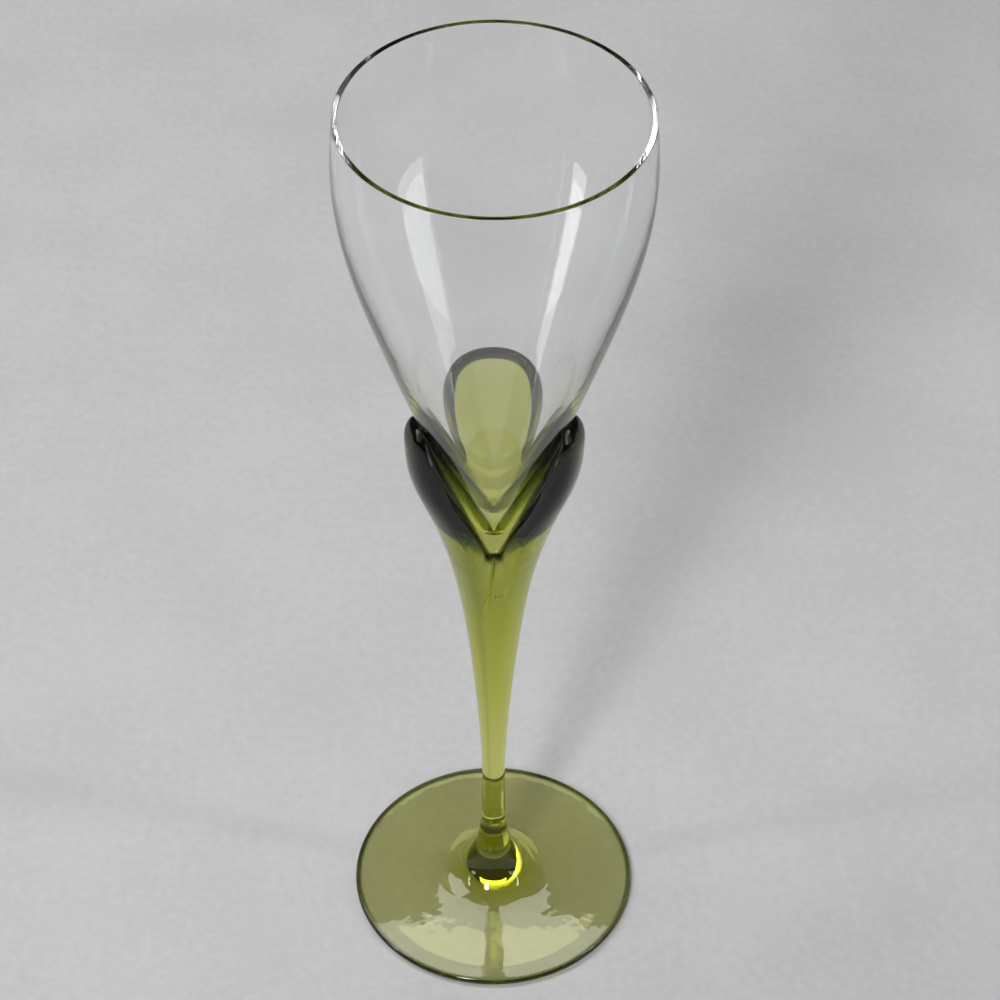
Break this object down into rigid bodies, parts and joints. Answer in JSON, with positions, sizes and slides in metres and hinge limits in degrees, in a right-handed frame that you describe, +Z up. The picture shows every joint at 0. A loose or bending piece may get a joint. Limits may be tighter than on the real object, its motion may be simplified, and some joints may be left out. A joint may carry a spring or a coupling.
{
  "type": "champagne flute",
  "caption": "Tall stemmed glass: clear tulip bowl held by a calyx of green glass petals, on a drawn green stem and a round disc foot.",
  "frame": {"origin": "middle of the foot's resting plane", "axes": "+Z up along the glass's axis, from the foot to the rim; -Y towards the front notch between two petals"},
  "size_m": [0.0664, 0.0664, 0.23],
  "materials": {
    "clear_crystal": "polished clear crystal",
    "green_glass": "polished transparent olive green glass"
  },
  "bodies": {
    "root": {"bowl": "clear_crystal", "petal_rear": "green_glass", "petal_front_left": "green_glass", "petal_front_right": "green_glass", "stem": "green_glass", "foot_collar": "green_glass", "foot": "green_glass"}
  },
  "joints": []
}
